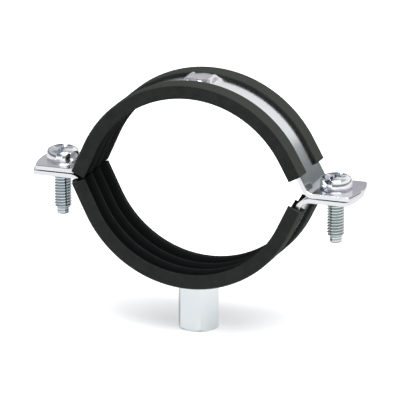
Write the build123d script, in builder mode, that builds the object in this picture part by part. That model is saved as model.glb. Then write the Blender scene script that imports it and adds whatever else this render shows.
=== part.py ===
from build123d import *
import os
from math import cos, radians, sin, sqrt, tan

os.makedirs("parts", exist_ok=True)

# Two-screw pipe clamp: two bent steel straps with rubber linings, closed by two screws.
# Millimetres and degrees. The pipe runs along Y, the ears point along X, the screws along Z.
# The origin is on the pipe's axis, midway between the two screws, in the parting plane.

# Steel straps
strap_width = 20.0
strap_thickness = 1.5
crown_height = 32.9        # from the parting plane to the inside of each strap's crown
lower_seat_radius = 37.6   # inside of the strap, where the lining lies on it
lower_leg_angle = 26.0     # the arc runs out into a straight leg at this angle above the horizontal
upper_spring = 0.9         # the upper strap is sprung open to a larger radius, its legs turned unequally
upper_right_turn = 2.6
upper_left_turn = -2.0
lower_bend_radius = 4.0    # inside radius of the bend from leg to ear
upper_bend_radius = 2.7
ear_gap = 0.4              # open gap between the upper and the lower ear
ear_overhang = 8.65        # from the hole's place to the tip of the ear
ear_tip_radius = 30.0      # the ear's end is a shallow arc
ear_corner_radius = 1.0
strap_edge_chamfer = 0.2   # rolled over on the outside by the shears

# Raised pad pressed into the crown of each strap, the seat of the connection nut
pad_rise = 1.6
pad_length = 9.0
pad_breadth = 8.0
pad_corner_radius = 1.5
pad_slope = 1.5            # how far the pressed walls run out on each side
pad_root = 0.9             # how deep the walls start under the strap's crown

# Rubber linings: a channel strip with toothed inner face and lips wrapped over the strap's edges
base_thickness = 2.1
lip_thickness = 1.3
side_wall = 1.9
side_play = 0.1            # between the strap's edge and the side wall
lip_opening = 11.5         # width of bare steel left between the lips
tooth_count = 3
tooth_depth = 0.9
front_land = 0.8           # flat lands in front of the first tooth and behind the last
back_land = 1.6
lining_edge_chamfer = 0.3  # outer corners of the section
lower_left_end = 0.88      # from the parting plane to the inner corner of each lining end
lower_right_end = 2.77
upper_left_end = -0.48
upper_right_end = 5.5
lip_clearance = 1.0        # the lips stop this far short of the bend

# Screws: M6, pan head with slot and cross recess, dog point
shank_radius = 2.95
screw_length = 19.0
head_radius = 5.5
head_height = 4.1
head_edge_round = 1.5      # the crown's edge is turned off in two steps, this far in and down
head_edge_step = 0.5
head_foot_chamfer = 0.6
head_clearance = 0.02      # between the head's foot and the bend beside it
point_radius = 2.1
point_length = 2.0
point_taper = 0.8
slot_width = 1.7
slot_depth = 1.6
cross_span = 6.4
cross_blade = 1.5
cross_depth = 2.6
cross_taper = 12.0
right_slot_turn = 83.0
left_slot_turn = 97.0
thread_play = 0.05         # radial, screw in the tapped lower ear
slot_play = 0.35           # radial, screw in the slotted upper ear
upper_offset = 0.7         # the upper half sits this far off the screws' middle, in its slots
ear_slot_length = 8.4

# Hexagonal connection nut, M8, welded on the lower pad
nut_width = 13.0
nut_length = 16.4
nut_bore_radius = 3.4
nut_mouth_radius = 4.2     # countersunk at both ends
nut_face_radius = 6.3      # the corners are turned off down to this at both ends
nut_chamfer_angle = 40.0   # of the turned corners, from the nut's end
nut_turn = -5.6            # the nut is welded on a few degrees off square

# Worked out from the dimensions above
lip_top = strap_thickness + lip_thickness
channel_half = strap_width / 2 + side_play
lining_half = channel_half + side_wall
tooth_pitch = (2 * lining_half - front_land - back_land) / tooth_count
ear_face = ear_gap / 2
upper_seat_radius = lower_seat_radius + upper_spring
upper_right_leg_angle = lower_leg_angle + upper_right_turn
upper_left_leg_angle = lower_leg_angle + upper_left_turn
strap_crown = crown_height + strap_thickness
pad_top = strap_crown + pad_rise
screw_seat = ear_face + strap_thickness
head_top = screw_seat + head_height
screw_tip = screw_seat - screw_length
nut_end = -pad_top - nut_length
nut_girth = nut_width / sqrt(3)
nut_corner_depth = (nut_girth - nut_face_radius) * tan(radians(nut_chamfer_angle))
nut_mouth_depth = nut_mouth_radius - nut_bore_radius


def arc_point(radius, angle):
    """Point at an angle on a strap's inside arc, whose top is the crown."""
    return radius * cos(radians(angle)), crown_height - radius * (1 - sin(radians(angle)))


def ear_corner(radius, leg_angle):
    """Where a leg's line meets the ear's face, before the bend is rounded."""
    leg_x, leg_z = arc_point(radius, leg_angle)
    return leg_x + (leg_z - ear_face) * tan(radians(leg_angle)), ear_face


def bend_run(leg_angle, bend_radius):
    """Length that a bend takes from the leg and from the ear beside it."""
    return (strap_thickness + bend_radius) * tan(radians(90 - leg_angle) / 2)


# The screws' heads stand just clear of the upper strap's right bend
ear_flat = ear_corner(upper_seat_radius, upper_right_leg_angle)[0] + bend_run(
    upper_right_leg_angle, upper_bend_radius
)
screw_spacing = 2 * (upper_offset + ear_flat + head_clearance + head_radius - head_foot_chamfer)
ear_tip = screw_spacing / 2 + ear_overhang


def pad_block(top):
    """Frustum with rounded corners and sloping walls, its upper face at the given height."""
    with BuildPart() as block:
        with BuildSketch(Plane.XY.offset(strap_crown - pad_root)):
            RectangleRounded(pad_length + 2 * pad_slope, pad_breadth + 2 * pad_slope, pad_corner_radius)
        with BuildSketch(Plane.XY.offset(pad_top)):
            RectangleRounded(pad_length, pad_breadth, pad_corner_radius)
        loft()
    return block.part.moved(Location((0, 0, top - pad_top)))


def strap_blank(radius, right_leg, left_leg, bend_radius):
    """Upper strap before its ear holes are made: a bent strip with rounded ears and a pressed pad."""
    right_corner, left_corner = ear_corner(radius, right_leg), ear_corner(radius, left_leg)
    left_start = arc_point(radius, 180 - left_leg)
    tip_sagitta = ear_tip_radius - sqrt(ear_tip_radius**2 - (strap_width / 2) ** 2)
    with BuildPart() as blank:
        with BuildSketch(Plane.XZ):
            with BuildLine() as inside:
                Polyline((ear_tip, ear_face), right_corner, arc_point(radius, right_leg))
                CenterArc((0, crown_height - radius), radius, right_leg, 180 - left_leg - right_leg)
                Polyline(left_start, (-left_corner[0], ear_face), (-ear_tip, ear_face))
                along = inside.vertices().sort_by(Axis.X)
                fillet([along[1], along[-2]], bend_radius + strap_thickness)
                offset(amount=strap_thickness, side=Side.RIGHT)
            make_face()
        extrude(amount=strap_width / 2, both=True)
        with BuildSketch() as plan:
            with BuildLine():
                right_end = ThreePointArc(
                    (ear_tip - tip_sagitta, -strap_width / 2),
                    (ear_tip, 0),
                    (ear_tip - tip_sagitta, strap_width / 2),
                )
                left_end = mirror(right_end, about=Plane.YZ)
                Line(right_end @ 0, left_end @ 0)
                Line(right_end @ 1, left_end @ 1)
            make_face()
            fillet(plan.vertices(), ear_corner_radius)
        extrude(amount=pad_top, mode=Mode.INTERSECT)
        sides = blank.faces().group_by(Axis.Y)
        outside = blank.faces().filter_by(lambda face: face.normal_at().Z > 0)
        chamfer(outside.edges() & (sides[0] + sides[-1]).edges(), strap_edge_chamfer)
        add(pad_block(pad_top))
        add(pad_block(pad_top - strap_thickness), mode=Mode.SUBTRACT)
    return blank.part


def section_plane(radius, angle):
    """Plane square to the upper lining at an angle on its seat: X outwards, Z on towards the left ear."""
    turn = radians(angle)
    seat_x, seat_z = arc_point(radius, angle)
    outwards = (cos(turn), 0, sin(turn))
    return Plane(origin=(seat_x, 0, seat_z), x_dir=outwards, z_dir=(-sin(turn), 0, cos(turn)))


def lining_section():
    """Section of the lining, outwards from its seat: saw-toothed inner face, side walls and lips."""
    teeth_start = -lining_half + front_land
    inner_face = [(-base_thickness, -lining_half), (-base_thickness, teeth_start)]
    for tooth in range(tooth_count):
        root = teeth_start + tooth * tooth_pitch
        inner_face += [(tooth_depth - base_thickness, root), (-base_thickness, root + tooth_pitch)]
    with BuildSketch() as section:
        with BuildLine():
            Polyline(
                *inner_face,
                (-base_thickness, lining_half),
                (lip_top, lining_half),
                (lip_top, lip_opening / 2),
                (strap_thickness, lip_opening / 2),
                (strap_thickness, channel_half),
                (0, channel_half),
                (0, -channel_half),
                (strap_thickness, -channel_half),
                (strap_thickness, -lip_opening / 2),
                (lip_top, -lip_opening / 2),
                (lip_top, -lining_half),
                close=True,
            )
        make_face()
        across = section.vertices().group_by(Axis.X)[-1].sort_by(Axis.Y)
        chamfer([across[0], across[-1]], lining_edge_chamfer)
    return section.sketch


def lip_limit(radius, leg_angle, bend_radius):
    """How far down a leg the lips may reach before the strap bends away to its ear."""
    leg_z = arc_point(radius, leg_angle)[1]
    leg_length = (leg_z - ear_face) / cos(radians(leg_angle))
    return leg_length - bend_run(leg_angle, bend_radius) - lip_clearance


def leg_reach(radius, leg_angle, end_height):
    """How far down a leg the lining runs for its inner corner to end at a height."""
    corner_z = arc_point(radius, leg_angle)[1] - base_thickness * sin(radians(leg_angle))
    return (corner_z - end_height) / cos(radians(leg_angle))


def lining_strip(radius, right_leg, left_leg, bend_radius, right_end, left_end):
    """Upper lining: the section carried down both legs and round the arc between them."""
    right_reach = leg_reach(radius, right_leg, right_end)
    left_reach = leg_reach(radius, left_leg, left_end)
    section = lining_section()
    right, left = section_plane(radius, right_leg), section_plane(radius, 180 - left_leg)
    centre = Axis((0, 0, crown_height - radius), (0, -1, 0))
    with BuildPart() as strip:
        with BuildSketch(right) as start:
            add(section)
        revolve(axis=centre, revolution_arc=180 - left_leg - right_leg)
        extrude(start.sketch, amount=-right_reach)
        with BuildSketch(left):
            add(section)
        extrude(amount=left_reach)
        # The lips are cut back before the bends
        right_lips = lip_limit(radius, right_leg, bend_radius)
        left_lips = lip_limit(radius, left_leg, bend_radius)
        for plane, surplus in (
            (right.offset(-right_lips), right_lips - right_reach),
            (left.offset(left_lips), left_reach - left_lips),
        ):
            with BuildSketch(plane):
                with Locations((lip_top, 0)):
                    Rectangle(2 * lip_top, 2 * channel_half)
            extrude(amount=surplus, mode=Mode.SUBTRACT)
    return strip.part


def screw(slot_turn):
    """Pan-head screw on the Z axis: rounded head with slot and cross recess, shank and dog point."""
    neck = screw_tip + point_length
    with BuildPart() as body:
        with BuildSketch(Plane.XZ):
            with BuildLine():
                Polyline(
                    (0, head_top),
                    (head_radius - head_edge_round, head_top),
                    (head_radius - head_edge_step, head_top - head_edge_step),
                    (head_radius, head_top - head_edge_round),
                    (head_radius, screw_seat + head_foot_chamfer),
                    (head_radius - head_foot_chamfer, screw_seat),
                    (shank_radius, screw_seat),
                    (shank_radius, neck + point_taper),
                    (point_radius, neck),
                    (point_radius, screw_tip),
                    (0, screw_tip),
                    close=True,
                )
            make_face()
        revolve(axis=Axis.Z)
        with BuildSketch(Plane.XY.offset(head_top).rotated((0, 0, slot_turn))):
            Rectangle(2 * head_radius, slot_width)
        extrude(amount=-slot_depth, mode=Mode.SUBTRACT)
        with BuildSketch(Plane.XY.offset(head_top).rotated((0, 0, slot_turn))):
            Rectangle(cross_span, cross_blade)
            Rectangle(cross_blade, cross_span)
        extrude(amount=-cross_depth, taper=cross_taper, mode=Mode.SUBTRACT)
    return body.part


# Upper half: strap with a slot in each ear, and its lining
upper_place = Location((upper_offset, 0, 0))
with BuildPart() as upper_strap:
    blank = strap_blank(upper_seat_radius, upper_right_leg_angle, upper_left_leg_angle, upper_bend_radius)
    add(blank.moved(upper_place))
    with BuildSketch():
        with Locations((upper_offset, 0)):
            with GridLocations(screw_spacing, 0, 2, 1):
                SlotOverall(ear_slot_length, 2 * (shank_radius + slot_play))
    extrude(amount=screw_seat, mode=Mode.SUBTRACT)
upper_strap.part.label = "upper_strap"

with BuildPart() as upper_lining:
    strip = lining_strip(
        upper_seat_radius,
        upper_right_leg_angle,
        upper_left_leg_angle,
        upper_bend_radius,
        upper_right_end,
        upper_left_end,
    )
    add(strip.moved(upper_place))
upper_lining.part.label = "upper_lining"

# Lower half: the same strap turned over, its ear holes tapped, and its lining
with BuildPart() as lower_strap:
    add(strap_blank(lower_seat_radius, lower_leg_angle, lower_leg_angle, lower_bend_radius))
    mirror(about=Plane.XY, mode=Mode.REPLACE)
    with GridLocations(screw_spacing, 0, 2, 1):
        Hole(shank_radius + thread_play)
lower_strap.part.label = "lower_strap"

with BuildPart() as lower_lining:
    strip = lining_strip(
        lower_seat_radius,
        lower_leg_angle,
        lower_leg_angle,
        lower_bend_radius,
        lower_right_end,
        lower_left_end,
    )
    add(strip)
    mirror(about=Plane.XY, mode=Mode.REPLACE)
lower_lining.part.label = "lower_lining"

# Connection nut: a hexagonal bar, its corners turned off at both ends, bored through and countersunk
with BuildPart() as connection_nut:
    with BuildSketch(Plane.XY.offset(nut_end)):
        RegularPolygon(nut_width / 2, 6, major_radius=False, rotation=nut_turn)
    extrude(amount=nut_length)
    with BuildSketch(Plane.XZ):
        with BuildLine():
            Polyline(
                (nut_bore_radius, -pad_top - nut_mouth_depth),
                (nut_mouth_radius, -pad_top),
                (nut_face_radius, -pad_top),
                (nut_girth, -pad_top - nut_corner_depth),
                (nut_girth, nut_end + nut_corner_depth),
                (nut_face_radius, nut_end),
                (nut_mouth_radius, nut_end),
                (nut_bore_radius, nut_end + nut_mouth_depth),
                close=True,
            )
        make_face()
    revolve(axis=Axis.Z, mode=Mode.INTERSECT)
connection_nut.part.label = "connection_nut"

# Screws: the right one stands in the right ears, the left one in the left ears
with BuildPart() as right_screw:
    add(screw(right_slot_turn).moved(Location((screw_spacing / 2, 0, 0))))
right_screw.part.label = "right_screw"

with BuildPart() as left_screw:
    add(screw(left_slot_turn).moved(Location((-screw_spacing / 2, 0, 0))))
left_screw.part.label = "left_screw"

for piece in (
    upper_strap,
    upper_lining,
    lower_strap,
    lower_lining,
    connection_nut,
    right_screw,
    left_screw,
):
    export_step(piece.part, "parts/" + piece.part.label + ".step")
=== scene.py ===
import bmesh
import bpy
import numpy as np
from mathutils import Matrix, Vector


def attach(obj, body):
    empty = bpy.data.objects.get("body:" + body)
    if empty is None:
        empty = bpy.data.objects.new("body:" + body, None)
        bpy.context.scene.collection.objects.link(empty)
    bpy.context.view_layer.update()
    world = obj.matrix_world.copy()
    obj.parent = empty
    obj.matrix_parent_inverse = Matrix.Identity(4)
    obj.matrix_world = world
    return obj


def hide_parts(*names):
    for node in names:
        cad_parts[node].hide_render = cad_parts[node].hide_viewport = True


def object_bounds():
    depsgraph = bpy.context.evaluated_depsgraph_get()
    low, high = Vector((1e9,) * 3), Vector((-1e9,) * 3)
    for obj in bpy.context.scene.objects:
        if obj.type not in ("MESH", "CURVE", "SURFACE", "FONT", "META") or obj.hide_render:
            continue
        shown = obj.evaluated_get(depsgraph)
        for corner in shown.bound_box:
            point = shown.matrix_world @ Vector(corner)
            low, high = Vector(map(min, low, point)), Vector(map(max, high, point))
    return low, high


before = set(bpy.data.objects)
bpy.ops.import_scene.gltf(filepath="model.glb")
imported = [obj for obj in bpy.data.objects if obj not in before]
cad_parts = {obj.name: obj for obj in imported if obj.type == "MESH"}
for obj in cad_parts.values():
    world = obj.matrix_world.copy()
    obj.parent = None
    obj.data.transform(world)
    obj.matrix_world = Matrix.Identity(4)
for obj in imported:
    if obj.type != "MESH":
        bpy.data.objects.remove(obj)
cad_box = [list(corner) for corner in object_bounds()]

# Camera. It looks at the clamp from its front right and a little above, from far enough away
# that the two ears come out nearly the same size.
view_azimuth = np.radians(19.8)      # from the front (-Y) towards the right (+X)
view_elevation = np.radians(17.15)
view_distance = 2.6                  # metres
pixels_per_metre = 2970.0            # at the aim point, in a frame of 400 by 400 pixels
frame_pixels = 400
aim = np.array([0.00047, 0.0, -0.00775])

towards_camera = np.array([
    np.sin(view_azimuth) * np.cos(view_elevation),
    -np.cos(view_azimuth) * np.cos(view_elevation),
    np.sin(view_elevation),
])
lens = bpy.data.cameras.new("view")
lens.sensor_fit = "HORIZONTAL"
lens.sensor_width = 36.0
lens.lens = lens.sensor_width * pixels_per_metre * view_distance / frame_pixels
lens.clip_end = 20.0
camera = bpy.data.objects.new("view", lens)
camera.location = aim + view_distance * towards_camera
camera.rotation_euler = (np.pi / 2 - view_elevation, 0.0, view_azimuth)
bpy.context.scene.collection.objects.link(camera)
bpy.context.scene.camera = camera


# Straps: zinc-plated steel strip, sheared, bent and pressed, still bright from the bath, copied from
# the CAD with the folds of their pads softened. The upper strap's right bend and ear are toned darker,
# in place of the dark surroundings that they would mirror.
def material_named(name, metallic, roughness):
    """New node material: its tree, its shader and the Object coordinates that its patterns use."""
    finish = bpy.data.materials.new(name)
    finish.use_nodes = True
    tree = finish.node_tree
    shader = tree.nodes["Principled BSDF"]
    shader.inputs["Metallic"].default_value = metallic
    shader.inputs["Roughness"].default_value = roughness
    place = tree.nodes.new("ShaderNodeTexCoord")
    return finish, tree, shader, place.outputs["Object"]


def cloud(tree, place, scale, detail, stretch=(1.0, 1.0, 1.0)):
    """Noise over the object's own coordinates, in cycles to the metre, drawn out along the axes."""
    mapping = tree.nodes.new("ShaderNodeMapping")
    mapping.inputs["Scale"].default_value = stretch
    noise = tree.nodes.new("ShaderNodeTexNoise")
    noise.inputs["Scale"].default_value = scale
    noise.inputs["Detail"].default_value = detail
    tree.links.new(place, mapping.inputs["Vector"])
    tree.links.new(mapping.outputs["Vector"], noise.inputs["Vector"])
    return noise.outputs["Fac"]


def banded(tree, value, stops):
    """Colour ramp over a value from 0 to 1: stops are (position, colour) in order."""
    ramp = tree.nodes.new("ShaderNodeValToRGB")
    first, last = ramp.color_ramp.elements[0], ramp.color_ramp.elements[1]
    first.position, first.color = stops[0][0], (*stops[0][1], 1.0)
    last.position, last.color = stops[-1][0], (*stops[-1][1], 1.0)
    for position, colour in stops[1:-1]:
        ramp.color_ramp.elements.new(position).color = (*colour, 1.0)
    tree.links.new(value, ramp.inputs["Fac"])
    return ramp.outputs["Color"]


def spread(tree, value, low, high):
    """Value from 0 to 1 mapped in a straight line onto low to high."""
    scaled = tree.nodes.new("ShaderNodeMapRange")
    scaled.inputs["To Min"].default_value = low
    scaled.inputs["To Max"].default_value = high
    tree.links.new(value, scaled.inputs["Value"])
    return scaled.outputs["Result"]


def raised(tree, shader, value, height, strength):
    """Bump of a value from 0 to 1, its full height in metres."""
    bump = tree.nodes.new("ShaderNodeBump")
    bump.inputs["Strength"].default_value = strength
    bump.inputs["Distance"].default_value = height
    tree.links.new(value, bump.inputs["Height"])
    tree.links.new(bump.outputs["Normal"], shader.inputs["Normal"])


def blended(tree, share, first, second, blend="MIX"):
    """Colour between two, by a share from 0 to 1."""
    mix = tree.nodes.new("ShaderNodeMix")
    mix.data_type = "RGBA"
    mix.blend_type = blend
    tree.links.new(share, mix.inputs["Factor"])
    for socket, colour in ((mix.inputs["A"], first), (mix.inputs["B"], second)):
        if isinstance(colour, tuple):
            socket.default_value = (*colour, 1.0)
        else:
            tree.links.new(colour, socket)
    return mix.outputs["Result"]


def along_axis(tree, place, axis):
    """Reach of a place along X, Y or Z."""
    apart = tree.nodes.new("ShaderNodeSeparateXYZ")
    tree.links.new(place, apart.inputs["Vector"])
    return apart.outputs[axis]


def between(tree, value, low, high):
    """1 where a value lies between low and high, 0 elsewhere."""
    compare = tree.nodes.new("ShaderNodeMath")
    compare.operation = "COMPARE"
    tree.links.new(value, compare.inputs[0])
    compare.inputs[1].default_value = (low + high) / 2
    compare.inputs[2].default_value = (high - low) / 2
    return compare.outputs["Value"]


def within(tree, place, axis, low, high):
    """1 where a place lies between low and high along an axis, 0 elsewhere."""
    return between(tree, along_axis(tree, place, axis), low, high)


strap_finish, strap_tree, strap_shader, strap_place = material_named("bright_zinc_strip", 1.0, 0.2)
strap_tint = cloud(strap_tree, strap_place, 70.0, 3.0)
strap_colour = banded(strap_tree, strap_tint, [
    (0.30, (0.80, 0.85, 0.87)),
    (0.50, (0.86, 0.87, 0.89)),
    (0.70, (0.86, 0.83, 0.85)),
])
bend_span = (0.034, 0.058)           # along X, from above the right bend to the tip of its ear
upper_span = (0.0012, 0.04)          # along Z, from inside the upper ears to above the crown
face_half = 0.0097                   # along Y, the strip's face without its sheared edges
bend_share = strap_tree.nodes.new("ShaderNodeMapRange")
strap_tree.links.new(along_axis(strap_tree, strap_place, "X"), bend_share.inputs["Value"])
bend_share.inputs["From Min"].default_value, bend_share.inputs["From Max"].default_value = bend_span
# Painted dark reflection on the upper strap's face round its right bend and ear, standing in for dark
# surroundings mirrored there.
painted_bend_reflection = banded(strap_tree, bend_share.outputs["Result"], [
    (0.08, (1.0, 1.0, 1.0)),
    (0.19, (0.60, 0.64, 0.63)),
    (0.29, (0.42, 0.46, 0.47)),
    (0.40, (0.55, 0.58, 0.60)),
    (0.50, (0.72, 0.72, 0.76)),
    (0.92, (0.80, 0.76, 0.80)),
])
on_face = within(strap_tree, strap_place, "Y", -face_half, face_half)
toned = blended(strap_tree, on_face, strap_colour, painted_bend_reflection, "MULTIPLY")
on_upper = within(strap_tree, strap_place, "Z", *upper_span)
strap_with_painted_reflection = blended(strap_tree, on_upper, strap_colour, toned)
strap_tree.links.new(strap_with_painted_reflection, strap_shader.inputs["Base Color"])
strap_lines = cloud(strap_tree, strap_place, 900.0, 4.0, (0.06, 1.0, 0.06))
strap_tree.links.new(spread(strap_tree, strap_lines, 0.14, 0.26), strap_shader.inputs["Roughness"])
raised(strap_tree, strap_shader, cloud(strap_tree, strap_place, 160.0, 2.0), 0.00006, 0.25)
pad_reach = (0.0068, 0.0062)         # half the length and breadth of the part that is pressed up
pad_foot = 0.0338                    # height of its foot above the parting plane
pad_margin = 0.0012                  # how far past the pad's length the faces are divided
still_margin = 0.0004                # outer part of that margin that stands still
coarse_edge = 0.0008                 # edges longer than this are divided
edge_cuts = 7
smoothing_passes = 30
sharp_angle = float(np.radians(42))  # folds past this stay sharp in the light


def place_piece(name, mesh, material):
    """New object for a mesh at the origin: seams merged, normals outwards, sharp edges kept sharp."""
    shell = bmesh.new()
    shell.from_mesh(mesh)
    bmesh.ops.remove_doubles(shell, verts=shell.verts, dist=1e-7)
    bmesh.ops.dissolve_degenerate(shell, edges=shell.edges, dist=1e-7)
    bmesh.ops.recalc_face_normals(shell, faces=shell.faces)
    for edge in shell.edges:
        edge.smooth = len(edge.link_faces) == 2 and edge.calc_face_angle() < sharp_angle
    for face in shell.faces:
        face.smooth = True
    shell.to_mesh(mesh)
    shell.free()
    mesh.materials.clear()
    mesh.materials.append(material)
    piece = bpy.data.objects.new(name, mesh)
    bpy.context.scene.collection.objects.link(piece)
    return piece


def pressed_strap(name):
    """Copy of a CAD strap with the folds of its pad drawn soft, as the press leaves them.

    The faces round the pad are divided evenly, then each vertex moves half way towards the mean of
    its neighbours, many times over, while the rest of the strap stands still.
    """
    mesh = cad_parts[name].data.copy()
    mesh.name = name + "_pressed"
    strip = bmesh.new()
    strip.from_mesh(mesh)
    bmesh.ops.remove_doubles(strip, verts=strip.verts, dist=1e-6)

    def on_pad(place):
        return (abs(place.x) < pad_reach[0] + pad_margin and abs(place.y) < pad_reach[1]
                and abs(place.z) > pad_foot)

    near = [face for face in strip.faces if on_pad(face.calc_center_median())]
    edges = list({edge for face in near for edge in face.edges if edge.calc_length() > coarse_edge})
    bmesh.ops.subdivide_edges(strip, edges=edges, cuts=edge_cuts, use_grid_fill=True)
    bmesh.ops.triangulate(strip, faces=[face for face in strip.faces if len(face.verts) > 4])
    reach = pad_reach[0] + pad_margin - still_margin
    soft = [vert for vert in strip.verts if on_pad(vert.co) and abs(vert.co.x) < reach]
    for _ in range(smoothing_passes):
        bmesh.ops.smooth_vert(
            strip, verts=soft, factor=0.5, use_axis_x=True, use_axis_y=True, use_axis_z=True
        )
    strip.to_mesh(mesh)
    strip.free()
    return mesh


for strap, body in (("upper_strap", "upper_half"), ("lower_strap", "lower_half")):
    pressed = place_piece(strap + "_pressed", pressed_strap(strap), strap_finish)
    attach(pressed, body)
    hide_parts(strap)

# Connection nut: a hexagonal bar, cut and turned, zinc plated a little duller than the strip and
# welded on the lower strap's pad. It comes from the CAD as it is.
nut_finish, nut_tree, nut_shader, nut_place = material_named("satin_zinc_bar", 1.0, 0.3)
nut_colour = banded(nut_tree, cloud(nut_tree, nut_place, 120.0, 4.0), [
    (0.30, (0.88, 0.94, 0.96)),
    (0.70, (0.94, 0.97, 0.98)),
])
nut_tree.links.new(nut_colour, nut_shader.inputs["Base Color"])
nut_lines = cloud(nut_tree, nut_place, 1500.0, 3.0, (1.0, 1.0, 0.05))
nut_tree.links.new(spread(nut_tree, nut_lines, 0.24, 0.38), nut_shader.inputs["Roughness"])
raised(nut_tree, nut_shader, nut_lines, 0.00001, 0.3)
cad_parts["connection_nut"].material_slots[0].material = nut_finish

# Rubber linings: one extruded strip of black rubber round the inside of each strap, with a saw-toothed
# inner face and two lips that wrap over the strap's edges. Each strip is cut to length, pushed on over
# the strap's edges and held by its lips alone. The grooves carry painted shade and the lips' outer faces
# painted light.
crown_height = 0.0329                # from the parting plane to the inside of each strap's crown
strap_thickness = 0.0015
strap_half = 0.010                   # half the strap's width
base_thickness = 0.0021
lip_thickness = 0.0013
lining_half = 0.012
lip_opening_half = 0.00575
channel_half = strap_half + 0.0001
tooth_count = 3
tooth_depth = 0.0009
front_land = 0.0008                  # flat lands in front of the first tooth and behind the last
back_land = 0.0016
lip_skin = 0.0004                    # depth under the lips' outer face that still counts as the face
tooth_pitch = (2 * lining_half - front_land - back_land) / tooth_count


def rounded(corners, steps=5):
    """Closed outline from corners (x, y, radius), each turned into a quadratic arc.

    An arc leaves each side at the radius from its corner c: p(t) = (1-t)^2 a + 2 t (1-t) c + t^2 b.
    A point just before and just after each arc keeps the flat sides flat in the light.
    """
    places = np.array([corner[:2] for corner in corners])
    radii = np.array([corner[2] for corner in corners])[:, None]
    before, after = np.roll(places, 1, axis=0), np.roll(places, -1, axis=0)
    back = radii * (before - places) / np.linalg.norm(before - places, axis=1)[:, None]
    on = radii * (after - places) / np.linalg.norm(after - places, axis=1)[:, None]
    t = np.linspace(0.0, 1.0, steps)[None, :, None]
    arcs = places[:, None] + (1 - t) ** 2 * back[:, None] + t**2 * on[:, None]
    leads = (places + 1.2 * back)[:, None], (places + 1.2 * on)[:, None]
    return np.concatenate([leads[0], arcs, leads[1]], axis=1).reshape(-1, 2)


def grooved(mesh, depth):
    """Stores each vertex's depth in a groove, from 0 to 1, or -1 on a lip, as the mesh's attribute."""
    mesh.attributes.new("groove", "FLOAT", "POINT").data.foreach_set("value", depth.ravel())
    return mesh


def groove_depth(tree):
    """The stored depth in a groove, for a material."""
    depth = tree.nodes.new("ShaderNodeAttribute")
    depth.attribute_name = "groove"
    return depth.outputs["Fac"]


def swept(name, rings):
    """Tube mesh through rings of points, an array (stations, points, 3), with both ends closed."""
    stations, points = rings.shape[:2]
    row, column = np.meshgrid(np.arange(stations - 1), np.arange(points), indexing="ij")
    following = (column + 1) % points
    sides = np.stack(
        [row * points + column, row * points + following,
         (row + 1) * points + following, (row + 1) * points + column], axis=-1
    ).reshape(-1, 4)
    first, last = np.arange(points)[::-1], np.arange(points) + (stations - 1) * points
    mesh = bpy.data.meshes.new(name)
    mesh.from_pydata(rings.reshape(-1, 3), [], sides.tolist() + [first.tolist(), last.tolist()])
    return mesh


def lining_section():
    """Outline (outward, y) of the strip: lips and walls outside, then the teeth along its inner face."""
    soft, sharp = 0.00035, 0.00018
    lip_top = strap_thickness + lip_thickness
    outline = [(-base_thickness, -lining_half, soft)]
    for tooth in range(tooth_count):
        root = front_land + tooth * tooth_pitch - lining_half
        outline += [(-base_thickness, root, sharp), (tooth_depth - base_thickness, root + sharp, sharp)]
    outline += [
        (-base_thickness, lining_half - back_land, sharp),
        (-base_thickness, lining_half, soft),
        (lip_top, lining_half, soft),
        (lip_top, lip_opening_half, soft),
        (strap_thickness, lip_opening_half, sharp),
        (strap_thickness, channel_half, sharp),
        (0.0, channel_half, sharp),
        (0.0, -channel_half, sharp),
        (strap_thickness, -channel_half, sharp),
        (strap_thickness, -lip_opening_half, sharp),
        (lip_top, -lip_opening_half, soft),
        (lip_top, -lining_half, soft),
    ]
    return rounded(outline)


def lining_rings(radius, legs, reaches, lips):
    """Section rings down the right leg, round the arc and down the left leg, in the upper half's place.

    A station is a length along the seat: p = seat point + outward * section. Lengths are measured from
    the right end. Past each lips' end the lip tips draw back into the side walls. At the left end the
    strip's base is sheared along the leg until its end lies level with the parting plane.
    """
    right, left = np.radians(legs[0]), np.pi - np.radians(legs[1])
    arc = radius * (left - right)
    leg_steps, arc_steps, cut = 24, 96, 0.00025
    along = np.unique(np.concatenate([
        np.linspace(-reaches[0], 0.0, leg_steps),
        np.linspace(0.0, arc, arc_steps),
        np.linspace(arc, arc + reaches[1], leg_steps),
        [-lips[0], -lips[0] - cut, arc + lips[1], arc + lips[1] + cut],
    ]))
    along = along[(along >= -reaches[0]) & (along <= arc + reaches[1])]
    angle = right + np.clip(along, 0.0, arc) / radius
    outward = np.stack([np.cos(angle), np.sin(angle)], axis=-1)
    forward = np.stack([-np.sin(angle), np.cos(angle)], axis=-1)
    run_on = (along - np.clip(along, 0.0, arc))[:, None]
    seat = np.array([0.0, crown_height - radius]) + radius * outward + run_on * forward
    section = lining_section()
    out, y = section[:, 0], section[:, 1]
    tip = (out > strap_thickness / 2) & (np.abs(y) < channel_half)
    bare = (along < -lips[0]) | (along > arc + lips[1])
    drawn_y = np.where(tip, np.sign(y) * (channel_half + 0.0001), y)
    wide = np.where(bare[:, None], drawn_y[None, :], y[None, :])
    level = np.where(np.abs(y) < strap_half, np.minimum(out, 0.0) + base_thickness, 0.0)
    shear = np.clip((along - arc) / reaches[1], 0.0, 1.0)[:, None] * level * np.tan(np.radians(legs[1]))
    x = seat[:, :1] + outward[:, :1] * out[None, :] + forward[:, :1] * shear
    z = seat[:, 1:] + outward[:, 1:] * out[None, :] + forward[:, 1:] * shear
    return np.stack([x, wide, z], axis=-1)


def tooth_roots(rings):
    """Depth of each point below the teeth's crests, as a share of the teeth's depth; -1 on the lips."""
    out, y = lining_section().T
    toothed = (out < 0.0) & (np.abs(y) < lining_half - front_land / 2)
    depth = np.where(toothed, (out + base_thickness) / tooth_depth, 0.0).clip(0.0, 1.0)
    depth = np.where(out > strap_thickness + lip_thickness - lip_skin, -1.0, depth)
    return np.broadcast_to(depth, rings.shape[:2])


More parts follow.
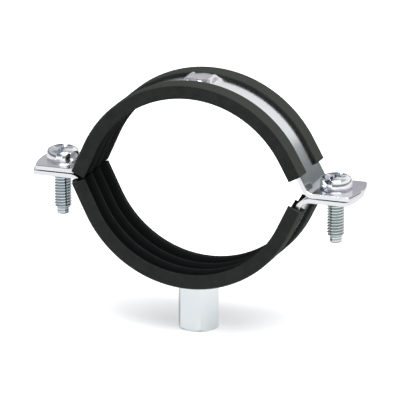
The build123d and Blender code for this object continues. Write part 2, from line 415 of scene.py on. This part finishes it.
def leg_run(radius, leg, end_height):
    """Length of straight lining down a leg whose inner corner ends at a height."""
    turn = np.radians(leg)
    corner = crown_height - radius * (1 - np.sin(turn)) - base_thickness * np.sin(turn)
    return (corner - end_height) / np.cos(turn)


rubber, rubber_tree, rubber_shader, rubber_place = material_named("black_rubber", 0.0, 0.8)
rubber_shader.inputs["Specular IOR Level"].default_value = 0.04
rubber_tone = banded(rubber_tree, cloud(rubber_tree, rubber_place, 300.0, 5.0), [
    (0.35, (0.022, 0.024, 0.023)),
    (0.65, (0.029, 0.031, 0.030)),
])
# Painted shade, deepening from the teeth's crests to their roots, where the crest in front keeps the light
# off.
painted_groove_shade = banded(rubber_tree, groove_depth(rubber_tree), [
    (0.01, (0.0, 0.0, 0.0)),
    (0.14, (0.75, 0.75, 0.75)),
    (0.55, (1.0, 1.0, 1.0)),
])
# Painted light on the lips' outer faces, lighter than the front faces as if lit more from above.
on_lip = between(rubber_tree, groove_depth(rubber_tree), -1.9, -0.1)
rubber_with_painted_lip_light = blended(rubber_tree, on_lip, rubber_tone, (0.050, 0.054, 0.048))
rubber_colour = blended(rubber_tree, painted_groove_shade, rubber_with_painted_lip_light, (0.0015, 0.0018, 0.0022))
rubber_tree.links.new(rubber_colour, rubber_shader.inputs["Base Color"])
raised(rubber_tree, rubber_shader, cloud(rubber_tree, rubber_place, 2500.0, 3.0), 0.00003, 0.4)

lower_radius, upper_radius = 0.0376, 0.0385
lower_legs, upper_legs = (26.0, 26.0), (28.6, 24.0)    # degrees, right and left
lower_ends, upper_ends = (0.00277, 0.00088), (0.0055, -0.00048)
lower_lips, upper_lips = (0.00843, 0.00843), (0.02, 0.00706)
upper_offset = 0.0007                # the upper half sits this far towards the right

lower_reaches = [leg_run(lower_radius, leg, end) for leg, end in zip(lower_legs, lower_ends)]
rings = lining_rings(lower_radius, lower_legs, lower_reaches, lower_lips)
rings[..., 2] *= -1.0
lower_lining = place_piece("lower_rubber", grooved(swept("lower_rubber", rings), tooth_roots(rings)), rubber)
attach(lower_lining, "lower_half")
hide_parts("lower_lining")

upper_reaches = [leg_run(upper_radius, leg, end) for leg, end in zip(upper_legs, upper_ends)]
rings = lining_rings(upper_radius, upper_legs, upper_reaches, upper_lips)
rings[..., 0] += upper_offset
upper_lining = place_piece("upper_rubber", grooved(swept("upper_rubber", rings), tooth_roots(rings)), rubber)
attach(upper_lining, "upper_half")
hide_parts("upper_lining")

# Screws: M6, cold headed with a slot and a cross recess, the thread rolled below the head and turned
# down to a dog point, zinc plated. The heads keep the CAD's form, and the thread is new. Thread roots
# and slots are darkened with painted shade.
thread_pitch = 0.001
crest_radius, root_radius = 0.00294, 0.00245
point_radius = 0.0021
seat_height = 0.0017                 # the underside of the heads
tip_height = seat_height - 0.019
neck_height = tip_height + 0.002
neck_slope = 1.0                     # radius gained per length above the dog point
screw_places = {"left_screw": -0.048802, "right_screw": 0.048802}


def threaded_shank(place):
    """Grid of a right-hand thread round the Z axis at x = place, closed at both ends.

    Rows climb with the helix: h = bottom + pitch * (row / rows in a turn + turn / 2 pi). The radius is
    a trapezium of h between root and crest, cut to the cone of the dog point, and shrinks to nothing
    past either end, where the height stands still.
    """
    turn_rows, columns, over = 12, 56, 2
    bottom = tip_height - over * thread_pitch
    turns = int(np.ceil((seat_height + 0.0005 - bottom) / thread_pitch)) + over
    row, column = np.meshgrid(np.arange(turns * turn_rows), np.arange(columns), indexing="ij")
    height = bottom + thread_pitch * (row / turn_rows + column / columns)
    angle = 2 * np.pi * column / columns
    ridge = np.clip((np.abs(2 * ((row / turn_rows) % 1.0) - 1.0) - 0.18) / 0.62, 0.0, 1.0)
    radius = root_radius + (crest_radius - root_radius) * ridge
    radius = np.minimum(radius, point_radius + np.maximum(0.0, height - neck_height) * neck_slope)
    top = seat_height + 0.0005
    ended = np.maximum(tip_height - height, 0.0) + np.maximum(height - top, 0.0)
    radius = radius * np.clip(1.0 - ended / (0.9 * thread_pitch), 0.0, 1.0)
    radius = np.minimum(radius, point_radius - 0.0003 + np.maximum(0.0, height - tip_height))
    radius = np.maximum(radius, 0.0)
    level = np.clip(height, tip_height, top)
    points = np.stack([place + radius * np.cos(angle), radius * np.sin(angle), level], axis=-1)
    row, column = np.meshgrid(
        np.arange(turns * turn_rows - turn_rows - 1), np.arange(columns), indexing="ij"
    )
    following = (column + 1) % columns
    climb = np.where(column + 1 == columns, turn_rows, 0)
    faces = np.stack(
        [row * columns + column, (row + climb) * columns + following,
         (row + climb + 1) * columns + following, (row + 1) * columns + column], axis=-1
    )
    mesh = bpy.data.meshes.new("thread")
    mesh.from_pydata(points.reshape(-1, 3), [], faces.reshape(-1, 4).tolist())
    return grooved(mesh, 1.0 - ridge)


def screw_mesh(name, place):
    """Copy of the CAD head, its shank cut off and its underside closed, joined to the thread."""
    head_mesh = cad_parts[name].data.copy()
    head = bmesh.new()
    head.from_mesh(head_mesh)
    bmesh.ops.remove_doubles(head, verts=head.verts, dist=1e-6)
    shank = [vert for vert in head.verts if vert.co.z < seat_height - 0.0001]
    bmesh.ops.delete(head, geom=shank, context="VERTS")
    bmesh.ops.contextual_create(head, geom=[edge for edge in head.edges if edge.is_boundary])
    head.to_mesh(head_mesh)
    head.free()
    joined = bmesh.new()
    joined.from_mesh(threaded_shank(place))
    joined.from_mesh(head_mesh)
    mesh = bpy.data.meshes.new(name + "_turned")
    joined.to_mesh(mesh)
    joined.free()
    return mesh


slot_turns = {"left_screw": 97.0, "right_screw": 83.0}    # degrees from +X
slot_half = 0.00086                  # half the slot's width, with both walls inside
slot_floor = seat_height + 0.0024    # just under the slot's floor
head_limit = seat_height + 0.005     # above the heads
screw_tones = {
    "left_screw": ((0.66, 0.71, 0.76), (0.84, 0.88, 0.92)),
    "right_screw": ((0.68, 0.72, 0.67), (0.88, 0.91, 0.87)),
}
for screw, place in screw_places.items():
    plating, plating_tree, plating_shader, plating_place = material_named(screw + "_zinc", 1.0, 0.1)
    dark, pale = screw_tones[screw]
    tone = banded(plating_tree, cloud(plating_tree, plating_place, 260.0, 4.0), [(0.3, dark), (0.7, pale)])
    # Painted shade, darkening the thread from its crests towards its roots.
    tone_with_painted_root_shade = blended(plating_tree, groove_depth(plating_tree), tone, (0.30, 0.36, 0.37))
    head = within(plating_tree, plating_place, "Z", seat_height, head_limit)
    clean = blended(plating_tree, head, tone_with_painted_root_shade, (0.94, 0.96, 0.97))
    turn = np.radians(slot_turns[screw])
    across = plating_tree.nodes.new("ShaderNodeVectorMath")
    across.operation = "DOT_PRODUCT"
    across.inputs[1].default_value = (np.sin(turn), -np.cos(turn), 0.0)
    plating_tree.links.new(plating_place, across.inputs[0])
    middle = place * np.sin(turn)
    in_slot = between(plating_tree, across.outputs["Value"], middle - slot_half, middle + slot_half)
    # Painted shade inside the slot, from just under its floor to above the head.
    deep = within(plating_tree, plating_place, "Z", slot_floor, head_limit)
    painted_slot_shade = blended(plating_tree, deep, clean, (0.30, 0.34, 0.38))
    head_with_painted_slot_shade = blended(plating_tree, in_slot, clean, painted_slot_shade)
    plating_tree.links.new(head_with_painted_slot_shade, plating_shader.inputs["Base Color"])
    raised(plating_tree, plating_shader, cloud(plating_tree, plating_place, 900.0, 3.0), 0.00003, 0.4)
    turned = place_piece(screw + "_turned", screw_mesh(screw, place), plating)
    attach(turned, screw)
    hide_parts(screw)

# Studio: a white floor under the nut that keeps the clamp's shadow, a soft key lamp above the
# front, and a surround that is white to the eye but, to the clamp, dim behind its left side. The
# floor's paper gives off some light of its own to the camera only, more of it away from the nut.
floor_height = cad_box[0][2]
floor_half = 3.0
floor_mesh = bpy.data.meshes.new("floor")
floor_mesh.from_pydata(
    [(x * floor_half, y * floor_half, floor_height) for x, y in ((-1, -1), (1, -1), (1, 1), (-1, 1))],
    [], [(0, 1, 2, 3)],
)
floor = bpy.data.objects.new("floor", floor_mesh)
bpy.context.scene.collection.objects.link(floor)
paper, paper_tree, paper_shader, paper_place = material_named("white_paper", 0.0, 0.95)
paper_shader.inputs["Base Color"].default_value = (0.9, 0.9, 0.9, 1.0)
paper_shader.inputs["Specular IOR Level"].default_value = 0.0
floor_lifts = (0.30, 0.75)           # light added to the paper where the camera sees it, near and far
floor_rings = (0.054, 0.074)         # distances from the origin between which the added light grows
seen = paper_tree.nodes.new("ShaderNodeLightPath")
glow = paper_tree.nodes.new("ShaderNodeEmission")
both = paper_tree.nodes.new("ShaderNodeAddShader")
outwards = paper_tree.nodes.new("ShaderNodeVectorMath")
outwards.operation = "LENGTH"
paper_tree.links.new(paper_place, outwards.inputs[0])
growth = paper_tree.nodes.new("ShaderNodeMapRange")
for socket, value in zip(("From Min", "From Max", "To Min", "To Max"), floor_rings + floor_lifts):
    growth.inputs[socket].default_value = value
paper_tree.links.new(outwards.outputs["Value"], growth.inputs["Value"])
lift = paper_tree.nodes.new("ShaderNodeMath")
lift.operation = "MULTIPLY"
paper_tree.links.new(seen.outputs["Is Camera Ray"], lift.inputs[0])
paper_tree.links.new(growth.outputs["Result"], lift.inputs[1])
paper_tree.links.new(lift.outputs["Value"], glow.inputs["Strength"])
paper_tree.links.new(paper_shader.outputs["BSDF"], both.inputs[0])
paper_tree.links.new(glow.outputs["Emission"], both.inputs[1])
paper_tree.links.new(both.outputs["Shader"], paper_tree.nodes["Material Output"].inputs["Surface"])
floor_mesh.materials.append(paper)

surround_side = (0.993, 0.122, 0.0)  # the surround brightens in this direction
side_stops = [
    (-1.00, (0.46, 0.46, 0.49)),
    (-0.19, (0.53, 0.53, 0.56)),
    (-0.09, (0.88, 0.88, 0.89)),
    (1.00, (0.94, 0.94, 0.94)),
]
height_stops = [                     # a dim band at the horizon, white above it, dimmer overhead
    (-1.00, (0.90, 0.90, 0.90)),
    (0.00, (0.22, 0.24, 0.25)),
    (0.12, (0.22, 0.24, 0.25)),
    (0.20, (1.00, 1.00, 1.00)),
    (0.62, (1.00, 1.00, 1.00)),
    (0.80, (0.50, 0.53, 0.53)),
    (1.00, (0.45, 0.48, 0.48)),
]
world = bpy.data.worlds.new("studio")
world.use_nodes = True
bpy.context.scene.world = world
sky_tree = world.node_tree
sky = sky_tree.nodes["Background"]
direction = sky_tree.nodes.new("ShaderNodeTexCoord")


def graded(axis, stops):
    """Colour of the surround by its reach from -1 to 1 along an axis: stops are (reach, colour)."""
    reach = sky_tree.nodes.new("ShaderNodeVectorMath")
    reach.operation = "DOT_PRODUCT"
    reach.inputs[1].default_value = axis
    sky_tree.links.new(direction.outputs["Generated"], reach.inputs[0])
    share = sky_tree.nodes.new("ShaderNodeMapRange")
    share.inputs["From Min"].default_value = -1.0
    sky_tree.links.new(reach.outputs["Value"], share.inputs["Value"])
    return banded(sky_tree, share.outputs["Result"], [((stop + 1) / 2, tone) for stop, tone in stops])


surround = sky_tree.nodes.new("ShaderNodeMix")
surround.data_type = "RGBA"
surround.blend_type = "MULTIPLY"
surround.inputs["Factor"].default_value = 1.0
sky_tree.links.new(graded(surround_side, side_stops), surround.inputs["A"])
sky_tree.links.new(graded((0.0, 0.0, 1.0), height_stops), surround.inputs["B"])
looked_at = sky_tree.nodes.new("ShaderNodeLightPath")
eye = looked_at.outputs["Is Camera Ray"]
sky_colour = blended(sky_tree, eye, surround.outputs["Result"], (1.0, 1.0, 1.0))
sky_tree.links.new(sky_colour, sky.inputs["Color"])
sky.inputs["Strength"].default_value = 1.0


def soft_lamp(name, place, width, watts):
    """Square lamp aimed at the clamp: place in metres from the origin, width of its side."""
    lamp = bpy.data.lights.new(name, "AREA")
    lamp.size = width
    lamp.energy = watts
    holder = bpy.data.objects.new(name, lamp)
    holder.location = place
    x, y, z = place
    holder.rotation_euler = (np.arctan2(np.hypot(x, y), z), 0.0, np.arctan2(x, -y))
    bpy.context.scene.collection.objects.link(holder)


soft_lamp("key", (0.3, -0.5, 1.25), 1.0, 13.5)

bpy.context.scene.view_settings.view_transform = "Standard"
